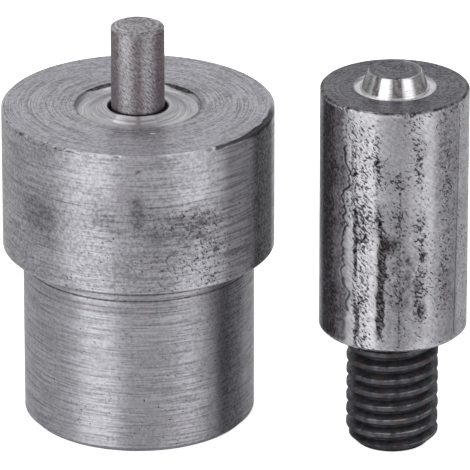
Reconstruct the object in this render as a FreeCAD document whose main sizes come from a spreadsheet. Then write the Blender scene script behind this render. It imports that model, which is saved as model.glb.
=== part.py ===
"""Two-piece die set that closes eyelets (grommets) in a hand press.

The lower die stands on the origin: a stepped turned block with an eyelet seat in its face and a
spring-loaded pilot pin on its axis. The upper die stands beside it, face up on its threaded stud.
All lengths are in millimetres, +Z is up, and the floor that both dies stand on is Z = 0.
"""
import FreeCAD, Part
import Sketcher
import math
import os

# The driving dimensions: name, value, meaning
SIZES = [
    ("collar_diameter", 23.5, "widest turned diameter of the lower die"),
    ("collar_height", 12.8, "from the shoulder up to the face"),
    ("shank_diameter", 20.0, "fits the socket in the press table"),
    ("shank_length", 15.6, "from the foot up to the shoulder"),
    ("face_edge_chamfer", 0.3, "round the face of the lower die"),
    ("shoulder_edge_chamfer", 0.15, "broken edge under the collar"),
    ("foot_chamfer", 0.5, "lead-in at the foot of the shank"),
    ("seat_rim_diameter", 10.9, "outer edge of the eyelet seat"),
    ("seat_wall_depth", 0.42, "depth at the foot of the steep rim wall"),
    ("seat_wall_run", 0.25, "how far the rim wall leans inwards"),
    ("seat_ring_diameter", 8.7, "deepest ring, where the two seat curves meet"),
    ("seat_depth", 0.55, "depth of the deepest ring under the face"),
    ("seat_outer_sag", 0.04, "hollow of the outer seat curve"),
    ("seat_inner_sag", 0.07, "hollow of the inner seat curve"),
    ("lip_width", 0.35, "land between the seat and the pin's bore"),
    ("lip_chamfer", 0.15, "broken edge of the land at the bore"),
    ("guide_diameter", 5.2, "bore that the pin passes through"),
    ("mouth_chamfer", 0.4, "lead-in of the chamber at the foot"),
    ("plug_diameter", 10.0, "outside of the plug's fine thread"),
    ("plug_ledge", 0.5, "step from the plug's bore in to the spring chamber above it"),
    ("plug_length", 4.0, "thickness of the plug"),
    ("plug_recess", 0.5, "how far the plug sits above the foot"),
    ("plug_chamfer", 0.4, "ends of the plug's thread"),
    ("slot_width", 1.6, "screwdriver slot"),
    ("slot_depth", 1.8, "screwdriver slot"),
    ("pin_diameter", 4.6, "working part of the pilot pin"),
    ("pin_rise", 7.4, "how far the pin stands above the face"),
    ("pin_bevel_width", 0.5, "bevel round the pin's end, across"),
    ("pin_bevel_drop", 0.22, "bevel round the pin's end, down"),
    ("pin_travel", 8.9, "press-down travel, until the coils close"),
    ("head_clearance", 0.05, "running gap of the pin's head in the chamber"),
    ("head_height", 2.0, "thickness of the pin's head"),
    ("head_chamfer", 0.3, "edges of the pin's head"),
    ("spring_wire", 0.7, "diameter of the spring's wire"),
    ("spring_clearance", 0.6, "between the spring and the chamber's wall"),
    ("spring_coils", 4, "working coils between the two end coils"),
    ("spring_end_gap", 0.06, "between an end coil and itself, one turn on"),
    ("spring_bind_gap", 0.3, "room left when the coils are closed"),
    ("punch_diameter", 12.7, "plain cylinder of the upper die"),
    ("punch_length", 22.0, "from its seat up to its face"),
    ("punch_face_chamfer", 0.25, "round the face of the upper die"),
    ("punch_seat_chamfer", 0.25, "round the seat of the upper die"),
    ("boss_top_diameter", 4.55, "flat top of the boss, which enters the eyelet"),
    ("boss_base_diameter", 5.7, "boss where it passes the face"),
    ("boss_height", 1.5, "boss above the face"),
    ("boss_edge_chamfer", 0.1, "broken edge round the boss's top"),
    ("curl_width", 0.7, "curling groove from the boss out to its rim"),
    ("curl_root_depth", 0.2, "how far the boss's cone goes on under the face"),
    ("curl_sag", 0.15, "hollow of the curling groove"),
    ("stud_diameter", 8.0, "outside of the coarse thread"),
    ("thread_pitch", 1.25, "from one turn of the stud's thread to the next"),
    ("thread_depth", 0.8, "from the thread's crests in to its roots"),
    ("thread_crest", 0.25, "width of the thread's crests"),
    ("stud_length", 20.0, "whole stud"),
    ("stud_stand_out", 10.7, "stud below the upper die's seat"),
    ("stud_chamfer", 0.9, "both ends of the stud's thread"),
    ("socket_flats", 4.0, "hexagon socket, across the flats"),
    ("socket_depth", 4.5, "hexagon socket in the stud's free end"),
    ("tap_mouth_clearance", 0.1, "countersink of the tapped hole, beyond the thread's crests"),
    ("tap_run_out", 1.5, "blind hole beyond the stud's inner end"),
    ("drill_point_height", 2.4, "cone that the drill leaves"),
    ("stand_apart_right", 21.9, "upper die's axis from the lower die's, along X"),
    ("stand_apart_front", 6.5, "upper die's axis from the lower die's, along -Y"),
]

# Heights and lengths that follow from the driving dimensions, as expressions of the sheet
LOWER_HEIGHT = "(sizes.shank_length + sizes.collar_height)"
PLUG_TOP = "(sizes.plug_recess + sizes.plug_length)"
CHAMBER_DIAMETER = "(sizes.plug_diameter - 2 * sizes.plug_ledge)"
SPRING_DIAMETER = f"({CHAMBER_DIAMETER} - 2 * sizes.spring_clearance)"
END_COIL_RISE = "(sizes.spring_wire + sizes.spring_end_gap)"
COILS_CLOSED = f"(sizes.spring_coils * sizes.spring_wire + 2 * {END_COIL_RISE})"
SPRING_LENGTH = f"(sizes.pin_travel + {COILS_CLOSED} + sizes.spring_bind_gap)"
HEAD_BOTTOM = f"({PLUG_TOP} + {SPRING_LENGTH})"
CHAMBER_TOP = f"({HEAD_BOTTOM} + sizes.head_height)"
PIN_LENGTH = f"({LOWER_HEIGHT} + sizes.pin_rise - {HEAD_BOTTOM})"
BOSS_SLOPE = "((sizes.boss_base_diameter - sizes.boss_top_diameter) / 2 / sizes.boss_height)"
STUD_ENGAGED = "(sizes.stud_length - sizes.stud_stand_out)"
# Inside the upper die the stud's thread and the die's are shown as one round wall, at the middle
# of their flanks. Outside it each turn of the thread is a ring of its own.
THREADS_MEET = "(sizes.stud_diameter / 2 - sizes.thread_depth / 2)"

# How far a cutting outline reaches past the surface that it cuts through
CUT_OVERRUN = 1.0
# Two rings count as the same one when they agree this closely
RING_TOLERANCE = 1e-4
# The round wire's section is drawn with this many flats, its corners on the round
WIRE_FLATS = 6


def make_sheet(doc):
    """The sheet of driving dimensions, one row each."""
    sheet = doc.addObject("Spreadsheet::Sheet", "sizes")
    for row, (name, value, meaning) in enumerate(SIZES, start=1):
        sheet.set(f"A{row}", name)
        sheet.set(f"B{row}", str(value))
        sheet.set(f"C{row}", meaning)
        sheet.setAlias(f"B{row}", name)
    doc.recompute()
    return sheet


def number(sheet, expression):
    """The present value of an expression of the sheet."""
    return float(sheet.evalExpression(str(expression)))


def origin_feature(body, role):
    """One of a body's own origin planes or axes."""
    return next(item for item in body.Origin.OriginFeatures if item.Role == role)


def new_sketch(body, name, role):
    """An empty sketch on one of the body's own origin planes."""
    sketch = body.newObject("Sketcher::SketchObject", name)
    sketch.AttachmentSupport = [(origin_feature(body, role), "")]
    sketch.MapMode = "FlatFace"
    return sketch


def curved_side(start, end, sag):
    """An arc from start to end that swells by sag to the right of the way from start to end."""
    way = end - start
    radius = way.Length ** 2 / (8 * sag) + sag / 2
    to_the_right = FreeCAD.Vector(way.y, -way.x, 0) / way.Length
    centre = (start + end) / 2 - to_the_right * (radius - sag)
    first = math.atan2(start.y - centre.y, start.x - centre.x)
    last = math.atan2(end.y - centre.y, end.x - centre.x)
    circle = Part.Circle(centre, FreeCAD.Vector(0, 0, 1), radius)
    return Part.ArcOfCircle(circle, first, last)


def outline(body, sheet, name, role, corners, swells=None, hollows=None):
    """A closed outline on an origin plane, drawn counter-clockwise.

    corners are (across, up) pairs of expressions, with 0 for a point on an axis. A side is straight
    unless swells (outwards) or hollows (inwards) gives its sag, by its first corner's number.
    """
    swells = swells or {}
    hollows = hollows or {}
    sketch = new_sketch(body, name, role)
    points = [FreeCAD.Vector(number(sheet, across), number(sheet, up), 0) for across, up in corners]
    ends = []
    for index, start in enumerate(points):
        end = points[(index + 1) % len(points)]
        if index in swells:
            side = curved_side(start, end, number(sheet, swells[index]))
        elif index in hollows:
            side = curved_side(end, start, number(sheet, hollows[index]))
        else:
            side = Part.LineSegment(start, end)
        first, last = (2, 1) if index in hollows else (1, 2)
        ends.append((sketch.addGeometry(side), first, last))
    bind_corners(sketch, corners, points, ends)
    bind_curves(sketch, corners, swells | hollows, ends)
    return sketch


def bind_corners(sketch, corners, points, ends):
    """Joins the sides of an outline and ties each corner to its two expressions."""
    for index, (side, first, _) in enumerate(ends):
        before, _, before_last = ends[index - 1]
        sketch.addConstraint(Sketcher.Constraint("Coincident", before, before_last, side, first))
        across, up = corners[index]
        for axis, kind, expression, value in (
            (-2, "DistanceX", across, points[index].x),
            (-1, "DistanceY", up, points[index].y),
        ):
            if expression == 0:
                sketch.addConstraint(Sketcher.Constraint("PointOnObject", side, first, axis))
                continue
            tie = sketch.addConstraint(Sketcher.Constraint(kind, -1, 1, side, first, value))
            sketch.setExpression(f"Constraints[{tie}]", str(expression))


def bind_curves(sketch, corners, sags, ends):
    """Ties the radius of each arc to its sag and to the chord between its corners."""
    for index, sag in sags.items():
        here = corners[index]
        there = corners[(index + 1) % len(corners)]
        chord = f"hypot({there[0]} - ({here[0]}); {there[1]} - ({here[1]}))"
        arc = ends[index][0]
        radius = sketch.Geometry[arc].Radius
        tie = sketch.addConstraint(Sketcher.Constraint("Radius", arc, radius))
        sketch.setExpression(f"Constraints[{tie}]", f"pow({chord}; 2) / (8 * {sag}) + {sag} / 2")


def turn(body, sheet, kind, name, corners, swells=None, hollows=None):
    """Turns a half-section a full turn about Z, as material (Revolution) or as a cut (Groove)."""
    sketch = outline(body, sheet, f"{name}_section", "XZ_Plane", corners, swells, hollows)
    feature = body.newObject(f"PartDesign::{kind}", name)
    feature.Profile = sketch
    feature.ReferenceAxis = (sketch, ["V_Axis"])
    feature.Angle = 360
    body.Document.recompute()
    return feature


def regular_corners(sides, circumradius, across="0", up="0"):
    """Corners of a regular outline about a centre, turned so that no corner is level with it."""
    corners = []
    for index in range(sides):
        angle = math.tau * (index + 0.25) / sides
        corners.append((
            f"{across} + {math.cos(angle):.6f} * {circumradius}",
            f"{up} + {math.sin(angle):.6f} * {circumradius}",
        ))
    return corners


def pocket_from_below(body, sheet, name, corners, depth):
    """Cuts an outline on the body's own base plane upwards into the body."""
    before = body.Shape.Volume
    pocket = body.newObject("PartDesign::Pocket", name)
    pocket.Profile = outline(body, sheet, f"{name}_outline", "XY_Plane", corners)
    pocket.setExpression("Length", depth)
    pocket.Reversed = True
    body.Document.recompute()
    assert pocket.Shape.Volume < before
    return pocket


def ring_names(feature, radius, height):
    """The names of a feature's circular edges of this radius at this height."""
    names = []
    for index, edge in enumerate(feature.Shape.Edges, start=1):
        curve = edge.Curve
        if not isinstance(curve, Part.Circle):
            continue
        if abs(curve.Radius - radius) < RING_TOLERANCE and abs(curve.Center.z - height) < RING_TOLERANCE:
            names.append(f"Edge{index}")
    return names


def chamfer_rings(body, sheet, name, base, size, rings):
    """Chamfers the circular edges at the given (radius, height) pairs of expressions."""
    feature = body.newObject("PartDesign::Chamfer", name)
    edges = []
    for radius, height in rings:
        edges += ring_names(base, number(sheet, radius), number(sheet, height))
    feature.Base = (base, edges)
    feature.setExpression("Size", f"sizes.{size}")
    body.Document.recompute()
    return feature


def set_down(piece, **expressions):
    """Ties a sub-part's position to expressions of the sheet, given as x, y and z."""
    for axis, expression in expressions.items():
        piece.setExpression(f"Placement.Base.{axis}", expression)


def half(name):
    """The radius that belongs to a diameter in the sheet."""
    return f"sizes.{name} / 2"


def make_lower_die_body(doc, sheet):
    """The stepped block: turned outside, stepped bore, eyelet seat, broken edges."""
    body = doc.addObject("PartDesign::Body", "lower_die_body")
    blank = turn(body, sheet, "Revolution", "stepped_blank", [
        (0, 0),
        (half("shank_diameter"), 0),
        (half("shank_diameter"), "sizes.shank_length"),
        (half("collar_diameter"), "sizes.shank_length"),
        (half("collar_diameter"), LOWER_HEIGHT),
        (0, LOWER_HEIGHT),
    ])
    bored = turn(body, sheet, "Groove", "stepped_bore", [
        (0, -CUT_OVERRUN),
        (half("plug_diameter"), -CUT_OVERRUN),
        (half("plug_diameter"), PLUG_TOP),
        (f"{CHAMBER_DIAMETER} / 2", PLUG_TOP),
        (f"{CHAMBER_DIAMETER} / 2", CHAMBER_TOP),
        (half("guide_diameter"), CHAMBER_TOP),
        (half("guide_diameter"), f"{LOWER_HEIGHT} + {CUT_OVERRUN}"),
        (0, f"{LOWER_HEIGHT} + {CUT_OVERRUN}"),
    ])
    assert bored.Shape.Volume < blank.Shape.Volume
    seated = make_eyelet_seat(body, sheet)
    assert seated.Shape.Volume < bored.Shape.Volume
    lipped = chamfer_rings(body, sheet, "lip_edge", seated, "lip_chamfer", [
        (half("guide_diameter"), LOWER_HEIGHT),
    ])
    faced = chamfer_rings(body, sheet, "face_edge", lipped, "face_edge_chamfer", [
        (half("collar_diameter"), LOWER_HEIGHT),
    ])
    broken = chamfer_rings(body, sheet, "shoulder_edge", faced, "shoulder_edge_chamfer", [
        (half("collar_diameter"), "sizes.shank_length"),
    ])
    footed = chamfer_rings(body, sheet, "foot_edge", broken, "foot_chamfer", [
        (half("shank_diameter"), 0),
    ])
    chamfer_rings(body, sheet, "mouth_edge", footed, "mouth_chamfer", [
        (half("plug_diameter"), 0),
    ])
    return body


def make_eyelet_seat(body, sheet):
    """The ring-shaped seat that takes an eyelet's flange: steep rim wall, then two shallow curves."""
    rim = half("seat_rim_diameter")
    lip = f"{half('guide_diameter')} + sizes.lip_width"
    above = f"{LOWER_HEIGHT} + {CUT_OVERRUN}"
    return turn(body, sheet, "Groove", "eyelet_seat", [
        (lip, LOWER_HEIGHT),
        (half("seat_ring_diameter"), f"{LOWER_HEIGHT} - sizes.seat_depth"),
        (f"{rim} - sizes.seat_wall_run", f"{LOWER_HEIGHT} - sizes.seat_wall_depth"),
        (rim, LOWER_HEIGHT),
        (rim, above),
        (lip, above),
    ], swells={0: "sizes.seat_inner_sag", 1: "sizes.seat_outer_sag"})


def make_pilot_pin(doc, sheet):
    """The pin and its head, with a wide shallow bevel round the end that lines up the work."""
    body = doc.addObject("PartDesign::Body", "pilot_pin")
    head = f"({CHAMBER_DIAMETER} / 2 - sizes.head_clearance)"
    pin = half("pin_diameter")
    turned = turn(body, sheet, "Revolution", "turned_pin", [
        (0, 0),
        (head, 0),
        (head, "sizes.head_height"),
        (pin, "sizes.head_height"),
        (pin, f"{PIN_LENGTH} - sizes.pin_bevel_drop"),
        (f"{pin} - sizes.pin_bevel_width", PIN_LENGTH),
        (0, PIN_LENGTH),
    ])
    chamfer_rings(body, sheet, "head_edges", turned, "head_chamfer", [
        (head, 0),
        (head, "sizes.head_height"),
    ])
    set_down(body, z=HEAD_BOTTOM)
    return body


def add_coils(body, sheet, name, start, rise, turns):
    """One stretch of the spring: the wire's section carried up a helix about Z."""
    mean_radius = f"({SPRING_DIAMETER} - sizes.spring_wire) / 2"
    section = regular_corners(WIRE_FLATS, half("spring_wire"), mean_radius, start)
    sketch = outline(body, sheet, f"{name}_wire", "XZ_Plane", section)
    coils = body.newObject("PartDesign::AdditiveHelix", name)
    coils.Profile = sketch
    coils.ReferenceAxis = (sketch, ["V_Axis"])
    coils.Mode = "height-turns-angle"
    coils.setExpression("Height", rise)
    coils.setExpression("Turns", turns)
    body.Document.recompute()
    return coils


def make_pin_spring(doc, sheet):
    """The compression spring: working coils between two closed end coils, both ends ground flat."""
    wound = doc.addObject("PartDesign::Body", "wound_wire")
    working_rise = f"{SPRING_LENGTH} - 2 * {END_COIL_RISE}"
    add_coils(wound, sheet, "lower_end_coil", "0", END_COIL_RISE, "1")
    add_coils(wound, sheet, "working_coils", END_COIL_RISE, working_rise, "sizes.spring_coils")
    add_coils(wound, sheet, "upper_end_coil", f"{SPRING_LENGTH} - {END_COIL_RISE}", END_COIL_RISE, "1")
    grinding = doc.addObject("Part::Cylinder", "between_ground_ends")
    grinding.setExpression("Radius", SPRING_DIAMETER)
    grinding.setExpression("Height", SPRING_LENGTH)
    spring = doc.addObject("Part::Common", "pin_spring")
    spring.Base = wound
    spring.Tool = grinding
    set_down(spring, z=PLUG_TOP)
    doc.recompute()
    return spring


def make_base_plug(doc, sheet):
    """The slotted plug that closes the spring chamber, a little way inside the foot."""
    body = doc.addObject("PartDesign::Body", "base_plug")
    disc = turn(body, sheet, "Revolution", "plug_disc", [
        (0, 0),
        (half("plug_diameter"), 0),
        (half("plug_diameter"), "sizes.plug_length"),
        (0, "sizes.plug_length"),
    ])
    chamfer_rings(body, sheet, "plug_edges", disc, "plug_chamfer", [
        (half("plug_diameter"), 0),
        (half("plug_diameter"), "sizes.plug_length"),
    ])
    pocket_from_below(body, sheet, "driver_slot", [
        ("-sizes.plug_diameter", "-sizes.slot_width / 2"),
        ("sizes.plug_diameter", "-sizes.slot_width / 2"),
        ("sizes.plug_diameter", "sizes.slot_width / 2"),
        ("-sizes.plug_diameter", "sizes.slot_width / 2"),
    ], "sizes.slot_depth")
    set_down(body, z="sizes.plug_recess")
    return body


def make_upper_die_body(doc, sheet):
    """The flaring die: plain cylinder, cone-shaped boss, curling groove and tapped blind hole."""
    body = doc.addObject("PartDesign::Body", "upper_die_body")
    punch = half("punch_diameter")
    face = "sizes.punch_length"
    root = f"{half('boss_base_diameter')} + {BOSS_SLOPE} * sizes.curl_root_depth"
    mouth = f"({half('stud_diameter')} + sizes.tap_mouth_clearance)"
    blank = turn(body, sheet, "Revolution", "punch_blank", [
        (0, 0),
        (punch, 0),
        (punch, face),
        (f"{half('boss_base_diameter')} + sizes.curl_width", face),
        (root, f"{face} - sizes.curl_root_depth"),
        (half("boss_top_diameter"), f"{face} + sizes.boss_height"),
        (0, f"{face} + sizes.boss_height"),
    ], hollows={3: "sizes.curl_sag"})
    tapped = turn(body, sheet, "Groove", "tapped_hole", [
        (0, -CUT_OVERRUN),
        (mouth, -CUT_OVERRUN),
        (mouth, 0),
        (THREADS_MEET, f"{mouth} - {THREADS_MEET}"),
        (THREADS_MEET, f"{STUD_ENGAGED} + sizes.tap_run_out"),
        (0, f"{STUD_ENGAGED} + sizes.tap_run_out + sizes.drill_point_height"),
    ])
    assert tapped.Shape.Volume < blank.Shape.Volume
    topped = chamfer_rings(body, sheet, "boss_edge", tapped, "boss_edge_chamfer", [
        (half("boss_top_diameter"), f"{face} + sizes.boss_height"),
    ])
    faced = chamfer_rings(body, sheet, "punch_face_edge", topped, "punch_face_chamfer", [
        (punch, face),
    ])
    chamfer_rings(body, sheet, "punch_seat_edge", faced, "punch_seat_chamfer", [
        (punch, 0),
    ])
    set_down(body, x="sizes.stand_apart_right", y="-sizes.stand_apart_front", z="sizes.stud_stand_out")
    return body


def cut_thread(body, sheet):
    """The thread below the upper die's seat: one groove on the stud, repeated at its pitch."""
    crest = half("stud_diameter")
    half_mouth = "(sizes.thread_pitch - sizes.thread_crest) / 2"
    middle = "sizes.stud_stand_out - (sizes.thread_pitch + sizes.thread_crest) / 2"
    groove = turn(body, sheet, "Groove", "thread_groove", [
        (f"{crest} - sizes.thread_depth", middle),
        (crest, f"{middle} - {half_mouth}"),
        (f"{crest} + {CUT_OVERRUN}", f"{middle} - {half_mouth}"),
        (f"{crest} + {CUT_OVERRUN}", f"{middle} + {half_mouth}"),
        (crest, f"{middle} + {half_mouth}"),
    ])
    turns = body.newObject("PartDesign::LinearPattern", "thread_turns")
    turns.Originals = [groove]
    turns.Direction = (origin_feature(body, "Z_Axis"), [""])
    turns.Reversed = True
    turns.Mode = "Spacing"
    turns.setExpression("Offset", "sizes.thread_pitch")
    turns.setExpression("Occurrences", "floor(sizes.stud_stand_out / sizes.thread_pitch)")
    body.Tip = turns
    body.Document.recompute()
    assert turns.Shape.Volume < groove.Shape.Volume
    return turns


def make_threaded_stud(doc, sheet):
    """The stud that the upper die is fastened by, with a hexagon socket in its free end."""
    body = doc.addObject("PartDesign::Body", "threaded_stud")
    rod = turn(body, sheet, "Revolution", "stud_rod", [
        (0, 0),
        (half("stud_diameter"), 0),
        (half("stud_diameter"), "sizes.stud_stand_out"),
        (THREADS_MEET, "sizes.stud_stand_out"),
        (THREADS_MEET, "sizes.stud_length"),
        (0, "sizes.stud_length"),
    ])
    chamfer_rings(body, sheet, "stud_ends", rod, "stud_chamfer", [
        (half("stud_diameter"), 0),
        (THREADS_MEET, "sizes.stud_length"),
    ])
    cut_thread(body, sheet)
    hexagon = regular_corners(6, f"sizes.socket_flats / {math.sqrt(3):.6f}")
    pocket_from_below(body, sheet, "hexagon_socket", hexagon, "sizes.socket_depth")
    set_down(body, x="sizes.stand_apart_right", y="-sizes.stand_apart_front")
    return body


def check_document(doc, pieces):
    """Stops the build if any object failed or any piece isn't one sound solid."""
    for item in doc.Objects:
        if "Invalid" in item.State or "Error" in item.State:
            raise RuntimeError(f"{item.Name} failed: {item.State}")
    for piece in pieces:
        shape = piece.Shape
        if shape.isNull() or not shape.isValid() or len(shape.Solids) != 1:
            raise RuntimeError(f"{piece.Label} is not one valid solid")


def print_spring_check(sheet, spring):
    """Compares the spring's volume with its wire section times its length."""
    mean_circle = math.pi * number(sheet, f"{SPRING_DIAMETER} - sizes.spring_wire")
    end_turn = math.hypot(mean_circle, number(sheet, END_COIL_RISE))
    coils = number(sheet, "sizes.spring_coils")
    rise = number(sheet, f"{SPRING_LENGTH} - 2 * {END_COIL_RISE}")
    length = math.hypot(coils * mean_circle, rise) + 2 * end_turn
    wire_radius = number(sheet, half("spring_wire"))
    section = WIRE_FLATS / 2 * wire_radius ** 2 * math.sin(math.tau / WIRE_FLATS)
    print(f"spring volume {spring.Shape.Volume:.2f}, section times length {section * length:.2f}")


def main():
    doc = FreeCAD.newDocument("eyelet_die_set")
    sheet = make_sheet(doc)
    pieces = [
        make_lower_die_body(doc, sheet),
        make_pilot_pin(doc, sheet),
        make_pin_spring(doc, sheet),
        make_base_plug(doc, sheet),
        make_upper_die_body(doc, sheet),
        make_threaded_stud(doc, sheet),
    ]
    doc.recompute()
    check_document(doc, pieces)
    os.makedirs("parts", exist_ok=True)
    for piece in pieces:
        piece.Shape.exportStep(os.path.join("parts", f"{piece.Label}.step"))
        print(f"{piece.Label}: volume {piece.Shape.Volume:.1f}, box {piece.Shape.BoundBox}")
    print_spring_check(sheet, pieces[2])


main()
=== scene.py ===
"""Looks of a two-piece grommet die set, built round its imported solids.

Sizes are in millimetres and angles in degrees until a mesh is made. An angle round a piece is
counted from its front, which faces the camera, and grows to the viewer's right.
"""
import math

import bmesh
import bpy
import numpy as np
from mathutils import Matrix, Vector


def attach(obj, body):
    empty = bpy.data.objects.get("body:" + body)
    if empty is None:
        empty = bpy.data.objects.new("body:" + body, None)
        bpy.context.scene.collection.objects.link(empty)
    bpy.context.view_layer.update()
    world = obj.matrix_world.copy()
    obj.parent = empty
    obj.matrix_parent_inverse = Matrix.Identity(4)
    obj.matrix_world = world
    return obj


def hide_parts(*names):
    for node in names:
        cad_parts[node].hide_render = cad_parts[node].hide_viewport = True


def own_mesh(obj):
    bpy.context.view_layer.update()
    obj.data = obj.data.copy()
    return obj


MM = 0.001
FULL_TURN = 360.0

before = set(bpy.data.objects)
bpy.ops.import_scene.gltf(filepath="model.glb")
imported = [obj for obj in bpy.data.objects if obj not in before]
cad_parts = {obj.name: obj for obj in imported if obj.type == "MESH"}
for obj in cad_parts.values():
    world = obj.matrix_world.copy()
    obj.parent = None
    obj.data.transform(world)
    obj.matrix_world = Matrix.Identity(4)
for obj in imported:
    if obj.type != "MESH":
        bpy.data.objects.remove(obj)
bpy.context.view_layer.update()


# Smooth random fields and marks on a turned surface

def ease(share):
    """Turns a share from 0 to 1 into one that starts and ends gently."""
    share = np.clip(share, 0.0, 1.0)
    return share * share * (3.0 - 2.0 * share)


def patches(seed, angle, height, cells_round, cells_per_mm):
    """Smooth random values from -1 to 1 over a turned surface, with no seam round it."""
    rows = 2048
    lift = 100.0
    dice = np.random.default_rng(seed).uniform(-1.0, 1.0, (cells_round, rows))
    across = (angle / FULL_TURN) % 1.0 * cells_round
    along = (height + lift) * cells_per_mm
    left = np.floor(across).astype(int)
    low = np.floor(along).astype(int)
    right_share = ease(across - left)
    high_share = ease(along - low)

    def pick(step_across, step_along):
        return dice[(left + step_across) % cells_round, (low + step_along) % rows]

    lower = pick(0, 0) * (1.0 - right_share) + pick(1, 0) * right_share
    upper = pick(0, 1) * (1.0 - right_share) + pick(1, 1) * right_share
    return lower * (1.0 - high_share) + upper * high_share


def layered(seed, angle, height, cells_round, cells_per_mm, layers=3):
    """Patches in several sizes, each half as large and half as strong as the one before."""
    total = 0.0
    for layer in range(layers):
        scale = 2 ** layer
        part = patches(seed + layer, angle, height, cells_round * scale, cells_per_mm * scale)
        total = total + part / scale
    return total / 1.5


def angle_between(angle, centre):
    """Signed difference of two angles, from -180 to 180."""
    return (angle - centre + 180.0) % FULL_TURN - 180.0


def spot(angle, height, centre_angle, centre_height, half_angle, half_height):
    """A soft round mark: 1 in its middle and 0 from its edge outwards."""
    off_angle = angle_between(angle, centre_angle) / half_angle
    off_height = (height - centre_height) / half_height
    return ease(1.0 - np.hypot(off_angle, off_height))


def band(value, low, high, soft):
    """1 between two values, falling to 0 over the soft width outside them."""
    return ease((value - low) / soft + 1.0) * ease((high - value) / soft + 1.0)


def blank_marks(radius):
    """The marks that the steels read, all at 0."""
    return {name: np.zeros_like(radius) for name in ("stain_and_shade", "pit_and_shade", "wear_and_highlight", "scale")}


def strengthen(marks, name, values):
    """Sets a mark to the stronger of what is there and the new values."""
    marks[name] = np.maximum(marks[name], values)


# Meshes

def section_rows(corners):
    """Rows of a turned surface, from its section's corners.

    A corner is (radius, height) first, then (radius, height, zone, spacing, bow): the zone, the
    spacing of the rows and the outward bow belong to the side that ends there.
    """
    rows = []
    for start, end in zip(corners, corners[1:]):
        (r0, z0), (r1, z1, zone, spacing) = start[:2], end[:4]
        bow = end[4] if len(end) > 4 else 0.0
        length = math.hypot(r1 - r0, z1 - z0)
        steps = max(1, round(length / spacing))
        for step in range(steps):
            share = step / steps
            push = 4.0 * bow * share * (1.0 - share) / length
            radius = r0 + (r1 - r0) * share + push * (z1 - z0)
            height = z0 + (z1 - z0) * share - push * (r1 - r0)
            rows.append((radius, height, zone))
    rows.append((corners[-1][0], corners[-1][1], corners[-1][2]))
    return rows


def mesh_object(name, points, faces, face_zones, materials):
    """A smooth-shaded mesh object from points in millimetres, quads and triangles."""
    mesh = bpy.data.meshes.new(name)
    corners = np.concatenate([part.ravel() for part in faces])
    sizes = np.concatenate([np.full(len(part), part.shape[1]) for part in faces])
    starts = np.concatenate([[0], np.cumsum(sizes)[:-1]])
    mesh.vertices.add(len(points))
    mesh.vertices.foreach_set("co", (points * MM).astype(np.float32).ravel())
    mesh.loops.add(len(corners))
    mesh.loops.foreach_set("vertex_index", corners.astype(np.int32))
    mesh.polygons.add(len(sizes))
    mesh.polygons.foreach_set("loop_start", starts.astype(np.int32))
    mesh.polygons.foreach_set("material_index", face_zones.astype(np.int32))
    mesh.update(calc_edges=True)
    mesh.validate()
    mesh.shade_smooth()
    for material in materials:
        mesh.materials.append(material)
    thing = bpy.data.objects.new(name, mesh)
    bpy.context.scene.collection.objects.link(thing)
    return thing


def turned(name, corners, columns, materials, carve, closed=False, sharp_from=32.0):
    """A turned piece. carve(angle, radius, height, zone) returns the carved radius and height and
    the named marks that the materials read."""
    zone_names = list(materials)
    rows = section_rows(corners)
    if closed:
        rows = rows[:-1]
    count = len(rows)
    zones = np.array([row[2] for row in rows])
    angle = np.linspace(-180.0, 180.0, columns, endpoint=False)[None, :].repeat(count, 0)
    radius = np.array([row[0] for row in rows])[:, None].repeat(columns, 1)
    height = np.array([row[1] for row in rows])[:, None].repeat(columns, 1)
    radius, height, marks = carve(angle, radius, height, zones[:, None].repeat(columns, 1))
    turn = np.radians(angle)
    marks["around"] = turn * radius
    points = np.stack([radius * np.sin(turn), -radius * np.cos(turn), height], axis=-1).reshape(-1, 3)

    here = np.arange(columns)
    following = (here + 1) % columns
    spans = count if closed else count - 1
    quads, quad_zones = [], []
    triangles, triangle_zones = [], []
    for row in range(spans):
        low, high = row * columns, (row + 1) % count * columns
        zone = zone_names.index(zones[row])
        if rows[row][0] == 0.0:
            triangles.append(np.stack([here * 0 + low, high + following, high + here], axis=1))
            triangle_zones.append(np.full(columns, zone))
        elif rows[(row + 1) % count][0] == 0.0:
            triangles.append(np.stack([low + here, low + following, here * 0 + high], axis=1))
            triangle_zones.append(np.full(columns, zone))
        else:
            quads.append(np.stack([low + here, low + following, high + following, high + here], axis=1))
            quad_zones.append(np.full(columns, zone))
    faces = [np.concatenate(part) for part in (quads, triangles) if part]
    face_zones = np.concatenate(quad_zones + triangle_zones)
    thing = mesh_object(name, points, faces, face_zones, materials.values())
    for mark, values in marks.items():
        values = np.broadcast_to(values, radius.shape).astype(np.float32)
        attribute = thing.data.attributes.new(mark, "FLOAT", "POINT")
        attribute.data.foreach_set("value", values.ravel())
    drop_loose_points(thing)
    thing.data.set_sharp_from_angle(angle=math.radians(sharp_from))
    return thing


def drop_loose_points(thing):
    """Removes the unused points at the poles."""
    work = bmesh.new()
    work.from_mesh(thing.data)
    loose = [point for point in work.verts if not point.link_faces]
    bmesh.ops.delete(work, geom=loose, context="VERTS")
    work.to_mesh(thing.data)
    work.free()


# Materials

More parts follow.
